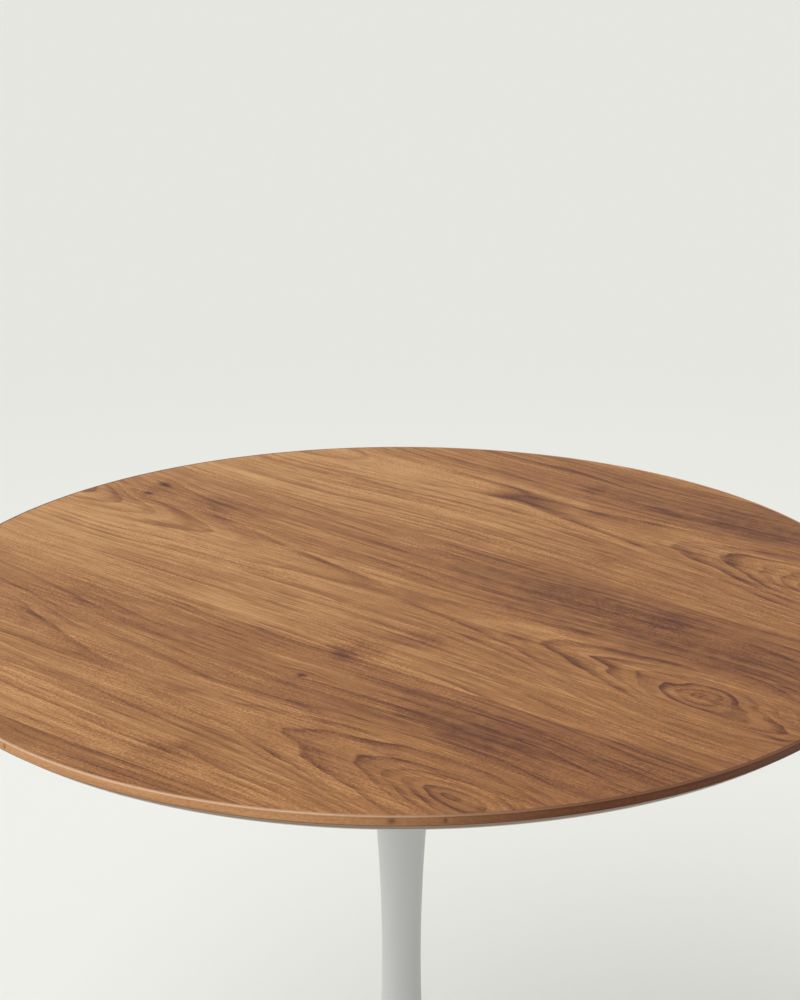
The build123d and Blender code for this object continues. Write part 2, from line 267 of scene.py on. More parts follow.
class Tree:
    """A material's nodes. Every method that makes a node returns the socket it gives."""

    def __init__(self, name):
        self.material = bpy.data.materials.new(name)
        self.material.use_nodes = True
        self.nodes = self.material.node_tree.nodes
        self.links = self.material.node_tree.links
        self.shader = self.nodes["Principled BSDF"]
        self.place = self.add("ShaderNodeTexCoord").outputs["Object"]

    def add(self, kind, **settings):
        node = self.nodes.new(kind)
        for key, value in settings.items():
            setattr(node, key, value)
        return node

    def feed(self, socket, value):
        """Link a socket, or set a constant on it."""
        if isinstance(value, bpy.types.NodeSocket):
            self.links.new(value, socket)
        elif value is not None:
            socket.default_value = value

    def math(self, operation, *values, clamp=False):
        node = self.add("ShaderNodeMath", operation=operation, use_clamp=clamp)
        for socket, value in zip(node.inputs, values):
            self.feed(socket, value)
        return node.outputs[0]

    def plus(self, *values, clamp=False):
        return self.math("ADD", *values, clamp=clamp)

    def minus(self, *values):
        return self.math("SUBTRACT", *values)

    def times(self, *values, clamp=False):
        return self.math("MULTIPLY", *values, clamp=clamp)

    def over(self, *values, clamp=False):
        return self.math("DIVIDE", *values, clamp=clamp)

    def combine(self, x=0.0, y=0.0, z=0.0):
        node = self.add("ShaderNodeCombineXYZ")
        for socket, value in zip(node.inputs, (x, y, z)):
            self.feed(socket, value)
        return node.outputs[0]

    def split(self, vector):
        node = self.add("ShaderNodeSeparateXYZ")
        self.feed(node.inputs[0], vector)
        return node.outputs

    def scaled(self, vector, factors):
        node = self.add("ShaderNodeVectorMath", operation="MULTIPLY")
        self.feed(node.inputs[0], vector)
        node.inputs[1].default_value = factors
        return node.outputs[0]

    def noise(self, vector, scale=1.0, detail=2.0, roughness=0.5, distortion=0.0):
        node = self.add("ShaderNodeTexNoise")
        self.feed(node.inputs["Vector"], vector)
        node.inputs["Scale"].default_value = scale
        node.inputs["Detail"].default_value = detail
        node.inputs["Roughness"].default_value = roughness
        node.inputs["Distortion"].default_value = distortion
        return node.outputs["Fac"]

    def stretched(self, first, second, first_scale, second_scale, seed=0.0, **settings):
        """Noise with a scale of its own each way, such as along and across the grain."""
        place = self.combine(self.times(first, first_scale), self.times(second, second_scale), seed)
        return self.noise(place, **settings)

    def remap(self, value, low, high, to_low=0.0, to_high=1.0, smooth=False):
        node = self.add("ShaderNodeMapRange", interpolation_type="SMOOTHSTEP" if smooth else "LINEAR")
        self.feed(node.inputs["Value"], value)
        node.inputs["From Min"].default_value = low
        node.inputs["From Max"].default_value = high
        node.inputs["To Min"].default_value = to_low
        node.inputs["To Max"].default_value = to_high
        return node.outputs["Result"]

    def mix(self, share, first, second, blend="MIX"):
        node = self.add("ShaderNodeMix", data_type="RGBA", blend_type=blend)
        self.feed(node.inputs[0], share)
        self.feed(node.inputs[6], first)
        self.feed(node.inputs[7], second)
        return node.outputs[2]

    def ramp(self, value, stops):
        node = self.add("ShaderNodeValToRGB")
        self.feed(node.inputs[0], value)
        elements = node.color_ramp.elements
        while len(elements) < len(stops):
            elements.new(0.5)
        for element, (position, colour) in zip(elements, stops):
            element.position = position
            element.color = colour
        return node.outputs["Color"]

    def bump(self, height, distance, strength=1.0):
        node = self.add("ShaderNodeBump")
        node.inputs["Strength"].default_value = strength
        node.inputs["Distance"].default_value = distance
        self.feed(node.inputs["Height"], height)
        self.feed(self.shader.inputs["Normal"], node.outputs[0])

    def finish(self, colour, roughness, metallic=0.0, coat=0.0, coat_roughness=0.1, specular=0.5):
        """Set the shader, and give the finished material."""
        self.feed(self.shader.inputs["Base Color"], colour)
        self.feed(self.shader.inputs["Roughness"], roughness)
        self.shader.inputs["Metallic"].default_value = metallic
        self.shader.inputs["Specular IOR Level"].default_value = specular
        self.shader.inputs["Coat Weight"].default_value = coat
        self.shader.inputs["Coat Roughness"].default_value = coat_roughness
        return self.material


def srgb(red, green, blue):
    """A display colour, 0 to 255, as the linear colour that shaders take."""
    def linear(level):
        level /= 255
        return level / 12.92 if level <= 0.04045 else ((level + 0.055) / 1.055) ** 2.4
    return (linear(red), linear(green), linear(blue), 1.0)


# ---- Wood ----

WOOD_LIGHT = srgb(207, 155, 97)
WOOD_MID = srgb(162, 108, 56)
WOOD_DARK = srgb(102, 52, 21)
WOOD_DEEP = srgb(70, 34, 15)
WOOD_TONES = [(0.0, WOOD_LIGHT), (0.30, WOOD_MID), (0.68, WOOD_DARK), (1.0, WOOD_DEEP)]
WOOD_WARMTH = (1.0, 0.90, 0.84, 1.0)
WOOD_DARKNESS = 0.7

# Painted light and shade on the edge: pale on the two sides along the grain and dark on the two across it.
# The arris has a paler painted highlight on both
EDGE_LIT_TONES = [(0.0, srgb(202, 152, 106)), (0.45, srgb(172, 122, 80)), (1.0, srgb(110, 68, 38))]
EDGE_SHADED_TONES = [(0.0, srgb(114, 64, 33)), (0.45, srgb(84, 43, 19)), (1.0, srgb(46, 22, 10))]
ARRIS_HIGHLIGHT_LIT = srgb(232, 206, 182)
ARRIS_HIGHLIGHT_SHADED = srgb(166, 116, 82)
ARRIS_HIGHLIGHT_STRENGTH = 0.42

# Small dark flecks on the edge: how far round it, in degrees, and about half their length
EDGE_FLECKS = [(-136.2, 0.0022), (-91, 0.004), (-85.7, 0.0018), (-66, 0.0020)]
EDGE_FLECK = srgb(70, 38, 20)
EDGE_FLECK_HEIGHT = 0.003
EDGE_FLECK_STRENGTH = 0.7

# Lengths in the wood's figure are shares of the top's radius, along and across the grain
RING_WIDTH = 0.021
RING_START = 0.35
HEART = 0.76
HEART_REACH = 0.27
FAR_HEART = -1.15
FAR_REACH = 0.42
DOME_RINGS = 7.5

# How far the figure slides along, and how much it changes, with each leaf from the middle one
LEAF_SLIP = 0.10
LEAF_CHANGE = 0.45

# Soft dark stains: along, across, half length, half width, strength
STAINS = [
    (0.16, -0.14, 0.050, 0.032, 0.42),
    (0.095, -0.265, 0.040, 0.050, 0.60),
    (0.32, -0.005, 0.045, 0.014, 0.45),
    (0.76, -0.035, 0.060, 0.022, 0.35),
    (-0.69, 0.20, 0.090, 0.050, 0.34),
    (-0.86, 0.19, 0.050, 0.085, 0.26),
    (0.49, 0.245, 0.050, 0.035, 0.36),
    (0.30, 0.25, 0.420, 0.085, 0.24),
    (0.62, 0.13, 0.260, 0.070, 0.26),
    (0.136, -0.816, 0.045, 0.070, 0.34),
    (0.19, 0.46, 0.035, 0.060, 0.24),
    (0.24, 0.84, 0.260, 0.075, 0.28),
    (-0.095, 0.80, 0.030, 0.045, 0.30),
    (0.52, -0.40, 0.300, 0.075, 0.26),
    (-0.30, -0.40, 0.340, 0.080, 0.14),
    (-0.55, 0.52, 0.260, 0.045, 0.18),
    (0.32, 0.62, 0.120, 0.030, 0.26),
]
STAIN_STRENGTH = 0.75

# Knots, with the grain parting round them: along, across, half length, half width
KNOTS = [
    (-0.877, 0.218, 0.016, 0.011),
    (-0.868, 0.152, 0.013, 0.010),
    (0.095, -0.42, 0.010, 0.008),
]

# How far out the grain parts round a knot, in knots' radii, and how strongly
KNOT_REACH = 6.0
KNOT_PUSH = 0.55


def ellipse(t, along, across, spot):
    """Squared distance from a spot's middle, which is 1 on its outline, and how far across it is."""
    middle_along, middle_across, half_length, half_width = spot[:4]
    run = t.over(t.minus(along, middle_along), half_length)
    rise = t.over(t.minus(across, middle_across), half_width)
    return t.plus(t.times(run, run), t.times(rise, rise)), rise


def bell(t, squared, spread=1.0):
    """1 in the middle, falling away smoothly with distance."""
    return t.math("EXPONENT", t.over(squared, -spread))


def grain_frame(t):
    """Places on the face, along and across the grain."""
    turned = t.add("ShaderNodeVectorRotate", rotation_type="Z_AXIS")
    t.feed(turned.inputs["Vector"], t.scaled(t.place, (1 / TOP_RADIUS, 1 / TOP_RADIUS, 1 / TOP_RADIUS)))
    turned.inputs["Angle"].default_value = -GRAIN_ANGLE
    along, across, _ = t.split(turned.outputs[0])
    return along, across


def part_round_knots(t, along, straight):
    """The place across the grain, which parts round each knot, and the knots' dark cores."""
    across = straight
    knots = 0.0
    for knot in KNOTS:
        squared, rise = ellipse(t, along, straight, knot)
        near = bell(t, squared, KNOT_REACH ** 2 / 2)
        across = t.minus(across, t.times(t.times(rise, near), knot[3] * KNOT_PUSH))
        knots = t.math("MAXIMUM", knots, bell(t, squared))
    return across, knots


def leaf_frame(t, straight, across):
    """The leaf's number, and the distances across it from its middle and in from its seam."""
    width = LEAF_WIDTH / TOP_RADIUS
    shift = LEAF_SHIFT / TOP_RADIUS
    leaf = t.math("ROUND", t.over(t.minus(straight, shift), width))
    middle = t.times(leaf, width)
    side = t.minus(t.minus(across, shift), middle)
    from_seam = t.minus(width / 2, t.math("ABSOLUTE", t.minus(t.minus(straight, shift), middle)))
    return leaf, side, from_seam


def cut_through_log(t, slid, side, seed):
    """Distance from the log's heart, depth of the cut, and distance sideways from the heart's line."""
    # The cut's depth is a dome between two hearts, with a lobed rim at one of them
    lobes = t.stretched(slid, side, 3.5, 13.0, seed, detail=2.0)
    ragged_slid = t.plus(slid, t.remap(lobes, 0.25, 0.75, -0.045, 0.045))
    to_heart = t.math("ABSOLUTE", t.minus(ragged_slid, HEART))
    to_far = t.math("ABSOLUTE", t.minus(slid, FAR_HEART))
    fall = [
        t.minus(1.0, t.math("EXPONENT", t.over(distance, -reach)))
        for distance, reach in ((to_heart, HEART_REACH), (to_far, FAR_REACH))
    ]
    depth = t.times(t.times(*fall), DOME_RINGS * RING_WIDTH)

    # The heart wanders across the leaf
    wander = t.noise(t.combine(t.times(slid, 1.5), seed), detail=0.5)
    drift = t.plus(t.times(slid, 0.055), t.remap(wander, 0.0, 1.0, -0.06, 0.06))
    offset = t.plus(side, drift)
    from_heart = t.math("SQRT", t.plus(t.times(offset, offset), t.times(depth, depth)))
    return from_heart, depth, t.math("ABSOLUTE", offset)


def growth_rings(t, slid, side, seed, cut, patch):
    """Dark lines of late wood, and the shade within each ring."""
    from_heart, depth, sideways = cut

    # Rings of uneven width, warped along the grain. The warp fades at the heart's line, which keeps
    # the tips of the figure clean
    warp = t.stretched(slid, side, 1.7, 6.0, seed, detail=2.0)
    fine_warp = t.stretched(slid, side, 8.0, 15.0, seed, detail=2.0)
    uneven = t.noise(t.combine(t.times(from_heart, 16.0), seed), detail=1.0)
    hold = t.remap(sideways, 0.0, 0.10, 0.18, 1.0, smooth=True)
    rings = t.plus(t.over(from_heart, RING_WIDTH), RING_START)
    for value, reach in ((warp, 1.1), (fine_warp, 0.20), (uneven, 1.4)):
        rings = t.plus(rings, t.times(t.remap(value, 0.0, 1.0, -reach, reach), hold))
    part_ring = t.math("FRACT", rings)
    ring_number = t.math("FLOOR", rings)

    # Late wood stays narrow where the cut runs nearly level with a ring
    level = t.remap(depth, 4.5 * RING_WIDTH, 6.5 * RING_WIDTH, smooth=True)
    level = t.times(level, t.remap(sideways, 0.02, 0.09, 1.0, 0.0, smooth=True))
    start = t.plus(0.45, t.times(level, 0.38))
    rising = t.over(t.minus(part_ring, start), t.minus(0.93, start), clamp=True)
    late_wood = t.times(rising, t.remap(part_ring, 0.92, 1.0, 1.0, 0.0, smooth=True))

    # Some rings are strong and some faint, and all are strongest near the heart's line
    strength = t.stretched(slid, ring_number, 3.0, 0.83, seed, detail=2.0)
    lines = t.times(late_wood, t.remap(strength, 0.36, 0.66, 0.20, 1.0))
    lines = t.times(lines, t.remap(patch, 0.34, 0.60, 0.30, 1.10))
    lines = t.times(lines, t.remap(sideways, 0.03, 0.14, 1.15, 0.45, smooth=True))
    ring_shade = t.times(part_ring, t.remap(strength, 0.3, 0.7))
    return lines, ring_shade


def stain_spots(t, along, across, patch):
    """Soft dark stains with ragged outlines."""
    ragged = t.minus(patch, 0.5)
    loose_along = t.plus(along, t.times(ragged, 0.16))
    loose_across = t.plus(across, t.times(ragged, 0.09))
    stained = 0.0
    for stain in STAINS:
        squared, _ = ellipse(t, loose_along, loose_across, stain)
        stained = t.plus(stained, t.times(bell(t, squared), stain[4] * STAIN_STRENGTH))
    return stained


def veneer_material():
    """Slip-matched, crown-cut veneer: each leaf shows much the same figure, slid along a little."""
    t = Tree("face_veneer")
    along, straight = grain_frame(t)
    across, knots = part_round_knots(t, along, straight)
    leaf, side, from_seam = leaf_frame(t, straight, across)
    slid = t.plus(along, t.times(t.math("ABSOLUTE", leaf), LEAF_SLIP))
    seed = t.times(leaf, LEAF_CHANGE)

    patch = t.stretched(along, across, 6.5, 15.0, detail=5.0, roughness=0.62, distortion=0.6)
    cut = cut_through_log(t, slid, side, seed)
    from_heart = cut[0]
    lines, ring_shade = growth_rings(t, slid, side, seed, cut, patch)

    # Streaks, fibre and pores, all along the grain
    streak = t.stretched(slid, across, 1.2, 30.0, seed, detail=4.0, roughness=0.68)
    wisp = t.stretched(slid, across, 1.8, 90.0, seed, detail=3.0, roughness=0.65)
    strand = t.stretched(slid, from_heart, 0.9, 125.0, seed, detail=3.0, roughness=0.65)
    fibre = t.stretched(along, across, 4.5, 270.0, detail=3.0, roughness=0.65)
    pores = t.remap(t.stretched(along, across, 46.0, 640.0, detail=1.0), 0.62, 0.74, smooth=True)
    dashes = t.remap(t.stretched(along, across, 13.0, 120.0, seed, detail=2.0), 0.60, 0.72, smooth=True)

    # Broad bands, the seams between leaves, and curl
    band = t.stretched(slid, side, 1.1, 5.0, seed, detail=3.0, roughness=0.55)
    heart_band = t.remap(side, 0.02, 0.10, smooth=True)
    seam = t.times(t.remap(from_seam, 0.0, 0.004, 1.0, 0.0), t.remap(streak, 0.35, 0.65))
    curl = t.stretched(along, across, 30.0, 44.0, detail=3.0, roughness=0.6, distortion=0.4)

    # Redder and speckled where it is curly, and mostly towards one side
    warmth = t.stretched(along, across, 3.0, 11.0, 3.0, detail=3.0)
    curly = t.plus(t.remap(warmth, 0.35, 0.65), t.remap(across, -0.2, -0.9, 0.0, 0.4), clamp=True)
    grit = t.stretched(along, across, 150.0, 210.0, detail=1.5, roughness=0.7)
    speckle = t.times(t.minus(grit, 0.5), t.remap(curly, 0.2, 1.0, 0.20, 1.15))

    stained = t.times(stain_spots(t, along, across, patch), t.remap(streak, 0.30, 0.70, 0.50, 1.30))
    stained = t.times(stained, t.remap(curl, 0.35, 0.65, 0.70, 1.30))

    # The darkness adds up. The wood is plainer at one end of the grain than at the other. It is also paler
    # towards the far side and darker towards the near side, partly its own tone and partly painted sheen
    # and shade
    tone = t.plus(t.remap(along, -1.0, 1.0, 0.29, 0.66), stained)
    tone = t.plus(tone, t.times(across, -0.03))
    liveliness = t.remap(along, -0.7, 0.4, 0.85, 1.0)
    for value, weight, middle in (
        (band, 0.40, 0.5), (heart_band, 0.18, 0.45), (seam, 0.20, 0.0),
        (patch, 0.38, 0.5), (curl, 0.22, 0.5),
        (streak, 0.48, 0.5), (wisp, 0.62, 0.5), (strand, 0.56, 0.5),
        (lines, 0.50, 0.10), (ring_shade, 0.20, 0.2), (dashes, 0.12, 0.06), (knots, 0.85, 0.0),
    ):
        tone = t.plus(tone, t.times(t.times(t.minus(value, middle), weight), liveliness))
    for value, weight, middle in ((fibre, 1.0, 0.5), (pores, 0.22, 0.04), (speckle, 0.88, 0.0)):
        tone = t.plus(tone, t.times(t.minus(value, middle), weight))
    tone = t.times(tone, WOOD_DARKNESS, clamp=True)

    colour = t.ramp(tone, WOOD_TONES)
    colour = t.mix(t.times(curly, 0.38), colour, WOOD_WARMTH, "MULTIPLY")
    t.bump(t.plus(t.times(fibre, 0.5), t.times(pores, -0.6)), 0.00006, 0.5)
    return t.finish(colour, t.remap(tone, 0.0, 1.0, 0.40, 0.52), specular=0.3)


def edge_wood_material():
    """The edge: fine streaks round it, with painted light and shade, pale on the sides along the grain and
    dark on those across it.
    """
    t = Tree("edge_wood")
    x, y, z = t.split(t.place)
    turn = t.math("ARCTAN2", y, x)
    round_edge = t.times(turn, TOP_RADIUS)
    fibre = t.stretched(round_edge, z, 16.0, 900.0, detail=3.0, roughness=0.6)
    strand = t.stretched(round_edge, z, 5.0, 220.0, detail=2.0)
    band = t.stretched(round_edge, z, 1.7, 30.0, detail=2.0)
    grit = t.stretched(round_edge, z, 210.0, 420.0, detail=2.0)
    tone = 0.0
    for value, weight in ((fibre, 0.5), (strand, 0.5), (band, 0.7), (grit, 0.55)):
        tone = t.plus(tone, t.times(t.minus(value, 0.5), weight))
    tone = t.plus(tone, 0.36, clamp=True)

    # Painted light and shade: the edge stays pale on the two sides along the top's grain and is painted
    # dark on the two across it, standing in for the light falling off round the edge
    across_grain = t.math("ABSOLUTE", t.math("COSINE", t.minus(turn, GRAIN_ANGLE)))
    shaded_side = t.remap(across_grain, 0.45, 0.88, smooth=True)
    colour = t.mix(shaded_side, t.ramp(tone, EDGE_LIT_TONES), t.ramp(tone, EDGE_SHADED_TONES))

    # Dark flecks halfway up the edge
    for fleck_turn, half_length in EDGE_FLECKS:
        run = t.over(t.minus(turn, math.radians(fleck_turn)), half_length / TOP_RADIUS)
        rise = t.over(t.minus(z, (FACE + EDGE_BOTTOM) / 2), EDGE_FLECK_HEIGHT)
        fleck = bell(t, t.plus(t.times(run, run), t.times(rise, rise)))
        colour = t.mix(t.times(fleck, EDGE_FLECK_STRENGTH), colour, EDGE_FLECK)

    # Painted highlight: the upper arris is painted pale, and less so where it turns level with the face
    arris_highlight = t.times(
        t.remap(z, FACE - 1.2 * ARRIS_RADIUS, FACE - 0.8 * ARRIS_RADIUS, smooth=True),
        t.remap(z, FACE - 0.1 * ARRIS_RADIUS, FACE, 1.0, 0.4))
    colour = t.mix(t.times(arris_highlight, ARRIS_HIGHLIGHT_STRENGTH), colour, t.mix(shaded_side, ARRIS_HIGHLIGHT_LIT, ARRIS_HIGHLIGHT_SHADED))
    t.bump(fibre, 0.00005, 0.5)
    return t.finish(colour, 0.45, specular=0.25)


# ---- Other materials ----

# Painted light on the floor: it is paler near the table, to offset the shadow the top casts on it. Its
# colour near the table and far off, and the distances between which it changes
FLOOR_NEAR_PAINTED_LIGHT = srgb(242, 242, 239)
FLOOR_FAR = srgb(231, 231, 227)
FLOOR_FADE = (1.0, 3.5)


def lacquer_material():
    """Light-grey satin lacquer with the faintest orange peel."""
    t = Tree("grey_lacquer")
    peel = t.noise(t.place, scale=900.0, detail=2.0)
    cloud = t.noise(t.place, scale=9.0, detail=3.0)
    colour = t.mix(cloud, srgb(187, 188, 187), srgb(193, 194, 193))
    t.bump(peel, 0.00002, 0.3)
    roughness = t.remap(cloud, 0.3, 0.7, 0.36, 0.42)
    return t.finish(colour, roughness, coat=0.1, coat_roughness=0.25)


def painted_board_material():
    """The bevel: warm grey paint over sealed fibreboard."""
    t = Tree("painted_fibreboard")
    grain = t.noise(t.place, scale=1400.0, detail=3.0)
    cloud = t.noise(t.place, scale=12.0, detail=3.0)
    colour = t.mix(cloud, srgb(130, 103, 82), srgb(138, 111, 89))
    t.bump(grain, 0.00003, 0.4)
    return t.finish(colour, 0.55)


def backing_material():
    """Backing sheet: matt, with a fine pebbled face."""
    t = Tree("backing_sheet")
    pebble = t.noise(t.place, scale=1100.0, detail=2.0)
    cloud = t.noise(t.place, scale=6.0, detail=3.0)
    colour = t.mix(cloud, srgb(188, 185, 176), srgb(195, 192, 184))
    t.bump(pebble, 0.00004, 0.5)
    return t.finish(colour, 0.65)


def metal_material(name, light, dark, roughness):
    """Plain or plated metal, a little cloudy."""
    t = Tree(name)
    cloud = t.noise(t.place, scale=160.0, detail=3.0)
    scratch = t.noise(t.scaled(t.place, (300.0, 300.0, 2500.0)), detail=2.0)
    colour = t.mix(cloud, light, dark)
    t.bump(scratch, 0.00001, 0.3)
    return t.finish(colour, t.remap(cloud, 0.3, 0.7, roughness, roughness + 0.12), metallic=1.0)


def board_material():
    """Raw fibreboard."""
    t = Tree("fibreboard")
    speck = t.noise(t.place, scale=1500.0, detail=4.0)
    colour = t.mix(speck, srgb(150, 118, 84), srgb(178, 146, 110))
    t.bump(speck, 0.00004, 0.6)
    return t.finish(colour, 0.85)


def plastic_material(name, light, dark, roughness):
    """Moulded plastic with a fine spark-eroded texture."""
    t = Tree(name)
    pebble = t.noise(t.place, scale=1800.0, detail=2.0)
    colour = t.mix(pebble, light, dark)
    t.bump(pebble, 0.00003, 0.5)
    return t.finish(colour, roughness)


def floor_material():
    """Plain pale floor, with painted light near the table against the top's shadow, and see-through from
    below.
    """
    t = Tree("floor")
    x, y, _ = t.split(t.place)
    from_table = t.math("SQRT", t.plus(t.times(x, x), t.times(y, y)))
    colour = t.mix(t.remap(from_table, *FLOOR_FADE, smooth=True), FLOOR_NEAR_PAINTED_LIGHT, FLOOR_FAR)
    t.finish(colour, 0.9, specular=0.0)
    clear = t.add("ShaderNodeBsdfTransparent")
    side = t.add("ShaderNodeNewGeometry")
    choice = t.add("ShaderNodeMixShader")
    t.feed(choice.inputs[0], side.outputs["Backfacing"])
    t.feed(choice.inputs[1], t.shader.outputs[0])
    t.feed(choice.inputs[2], clear.outputs[0])
    t.feed(t.nodes["Material Output"].inputs["Surface"], choice.outputs[0])
    return t.material


veneer = veneer_material()
edge_wood = edge_wood_material()
lacquer = lacquer_material()
painted_board = painted_board_material()
backing = backing_material()
board = board_material()
zinc = metal_material("zinc_steel", srgb(205, 206, 202), srgb(186, 188, 188), 0.3)
plain_steel = metal_material("plain_steel", srgb(170, 170, 170), srgb(150, 150, 152), 0.35)
brass = metal_material("brass", srgb(214, 178, 96), srgb(196, 158, 84), 0.3)
nylon = plastic_material("nylon", srgb(44, 44, 45), srgb(56, 56, 57), 0.55)
black_plastic = plastic_material("black_plastic", srgb(44, 44, 45), srgb(56, 56, 57), 0.6)

SLOT_MATERIALS = {
    "face_veneer": veneer, "edge_wood": edge_wood, "fibreboard": board,
    "painted_fibreboard": painted_board, "backing_sheet": backing, "grey_lacquer": lacquer,
    "zinc_steel": zinc, "plain_steel": plain_steel, "brass": brass, "nylon": nylon,
    "black_plastic": black_plastic,
}

# ---- Camera ----

# The view looks down at the table from in front, from standing eye height. Its distance from the axis
# and its height above the face are shares of the top's radius
CAMERA_SIDE = -0.0016
CAMERA_DISTANCE = 5.337
CAMERA_RISE = 2.115
CAMERA_PITCH = math.radians(19.55)

# Millimetres
CAMERA_LENS = 100.8
SENSOR_WIDTH = 36

camera_data = bpy.data.cameras.new("camera")
camera_data.lens = CAMERA_LENS
camera_data.sensor_width = SENSOR_WIDTH
camera = bpy.data.objects.new("camera", camera_data)
camera.location = (CAMERA_SIDE, -CAMERA_DISTANCE * TOP_RADIUS, FACE + CAMERA_RISE * TOP_RADIUS)
camera.rotation_euler = (math.pi / 2 - CAMERA_PITCH, 0, 0)
bpy.context.scene.collection.objects.link(camera)
bpy.context.scene.camera = camera

# ---- Finishes of the carried-over pieces ----

slots = {row["node"]: row["material_slot"] for row in frame["record"]["subparts"]}
for node, slot in slots.items():
    piece = bpy.data.objects[node]
    piece.data.materials.clear()
    piece.data.materials.append(SLOT_MATERIALS[slot])


def stands_for(piece, node, body="table"):
    """The piece takes the place and the body of one CAD node, which is hidden."""
    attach(piece, body)
    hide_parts(node)


# ---- Table top ----


def leaf_outline(low, high):
    """Corners, in the grain's own frame, of the part of the face between two seams."""
    low, high = max(low, -PANEL_RADIUS), min(high, PANEL_RADIUS)
    first, last = math.asin(low / PANEL_RADIUS), math.asin(high / PANEL_RADIUS)
    count = max(LEAF_STEPS, round(STEPS * (last - first) / (2 * math.pi)))
    right = [first + (last - first) * i / count for i in range(count + 1)]
    left = [math.pi - turn for turn in reversed(right)]
    corners = [(PANEL_RADIUS * math.cos(turn), PANEL_RADIUS * math.sin(turn)) for turn in right + left]
    tidy = [corners[0]]
    for corner in corners[1:]:
        if math.dist(corner, tidy[-1]) > TINY:
            tidy.append(corner)
    if math.dist(tidy[0], tidy[-1]) < TINY:
        tidy.pop()
    return tidy


def make_leaf(number):
    """One leaf of face veneer, with a flat face and a square edge."""
    middle = LEAF_SHIFT + (number - (LEAVES + 1) / 2) * LEAF_WIDTH
    corners = leaf_outline(middle - LEAF_WIDTH / 2, middle + LEAF_WIDTH / 2)
    cosine, sine = math.cos(GRAIN_ANGLE), math.sin(GRAIN_ANGLE)
    build = bmesh.new()
    rings = [
        [build.verts.new((a * cosine - b * sine, a * sine + b * cosine, height)) for a, b in corners]
        for height in (LEAF_BOTTOM, FACE)
    ]
    build.faces.new(rings[1])
    build.faces.new(list(reversed(rings[0])))
    for here in range(len(corners)):
        there = (here + 1) % len(corners)
        build.faces.new((rings[0][here], rings[0][there], rings[1][there], rings[1][here]))
    piece = new_piece(f"veneer_leaf_{number}", build, veneer)
    stands_for(piece, f"face_leaf_{number}")


for number in range(1, LEAVES + 1):
    make_leaf(number)

arris_middle = (TOP_RADIUS - ARRIS_RADIUS, FACE - ARRIS_RADIUS)
arris = arc(arris_middle, ARRIS_RADIUS, 0, 90, ARRIS_STEPS)
low_arris_middle = (TOP_RADIUS - LOW_ARRIS_RADIUS, EDGE_BOTTOM + LOW_ARRIS_RADIUS)
low_arris = arc(low_arris_middle, LOW_ARRIS_RADIUS, -90, 0, LOW_ARRIS_STEPS)
lipping = ring_solid("lipping", [
    (PANEL_RADIUS, EDGE_BOTTOM), *low_arris, *arris, (PANEL_RADIUS, FACE)], edge_wood)
stands_for(lipping, "edge_lipping")

bevel = ring_solid("bevelled_panel", [
    (POCKET_RADIUS, EDGE_BOTTOM), (POCKET_RADIUS, BACKING_TOP), (BACKING_RADIUS, BACKING_TOP),
    (TOP_RADIUS, EDGE_BOTTOM)], painted_board)
stands_for(bevel, "bevel_panel")

backing_sheet = ring_solid("backing", [
    (POCKET_RADIUS, BACKING_BOTTOM), (BACKING_RADIUS, BACKING_BOTTOM), (BACKING_RADIUS, BACKING_TOP),
    (POCKET_RADIUS, BACKING_TOP)], backing)
stands_for(backing_sheet, "underside_backing")

# ---- Pedestal ----

# Points on the curves below and above the waist, and the least rise from the rim to the next point
FOOT_POINTS = 160
FLARE_POINTS = 60
RIM_GAP = 1e-5


def pedestal_skin(depth, low, high):
    """Outline points of stem and foot from a low to a high level, this deep inside the skin."""
    rim = Vector((FOOT_HIGH.x - RIM_ROUND, RIM_TOP))
    lower = rim + Vector((-1, FOOT_SLOPE)) * LOWER_REACH * (rim.x - WAIST.x)
    sideways = Vector((-depth, 0))
    foot = [
        WAIST + sideways,
        Vector((WAIST.x - depth, UPPER_LEVEL * WAIST.y - UPPER_SINK * depth)),
        lower + Vector((-LOWER_SHIFT * depth, -depth)),
        rim + Vector((-FOOT_SLOPE * depth, -depth)),
    ]
    flare = [
        WAIST + sideways,
        Vector((WAIST.x - depth, (WAIST.y + PLATE_LOW.z) / 2)),
        Vector((STEM_HIGH.x - depth, PLATE_LOW.z)),
    ]
    points = list(reversed(bezier(foot, FOOT_POINTS))) + bezier(flare, FLARE_POINTS)[1:]
    kept = []
    for here, there in zip(points, points[1:]):
        for level in (low, high):
            if here.y < level < there.y:
                kept.append(here.lerp(there, (level - here.y) / (there.y - here.y)))
        if low <= there.y <= high:
            kept.append(there)
    return sorted(kept, key=lambda point: point.y)


def make_stem():
    """The stem, hollow, with a flange at each end."""
    skin = pedestal_skin(0, STEM_LOW.z, STEM_HIGH.z)
    foot_of_skin = skin[0]
    outer = [Vector((foot_of_skin.x - SEAM_CHAMFER, STEM_LOW.z))]
    outer += [point for point in skin if point.y > STEM_LOW.z + SEAM_CHAMFER]
    bore = pedestal_skin(WALL, STEM_LOW.z + FLANGE, STEM_HIGH.z - FLANGE)
    inner = [Vector((ROD_HOLE, STEM_HIGH.z)), Vector((ROD_HOLE, STEM_HIGH.z - FLANGE))]
    inner += list(reversed(bore))
    inner += [Vector((ROD_HOLE, STEM_LOW.z + FLANGE)), Vector((ROD_HOLE, STEM_LOW.z))]
    piece = ring_solid("stem", outer + inner, lacquer, steps=STEM_STEPS)
    stands_for(piece, "stem_casting")


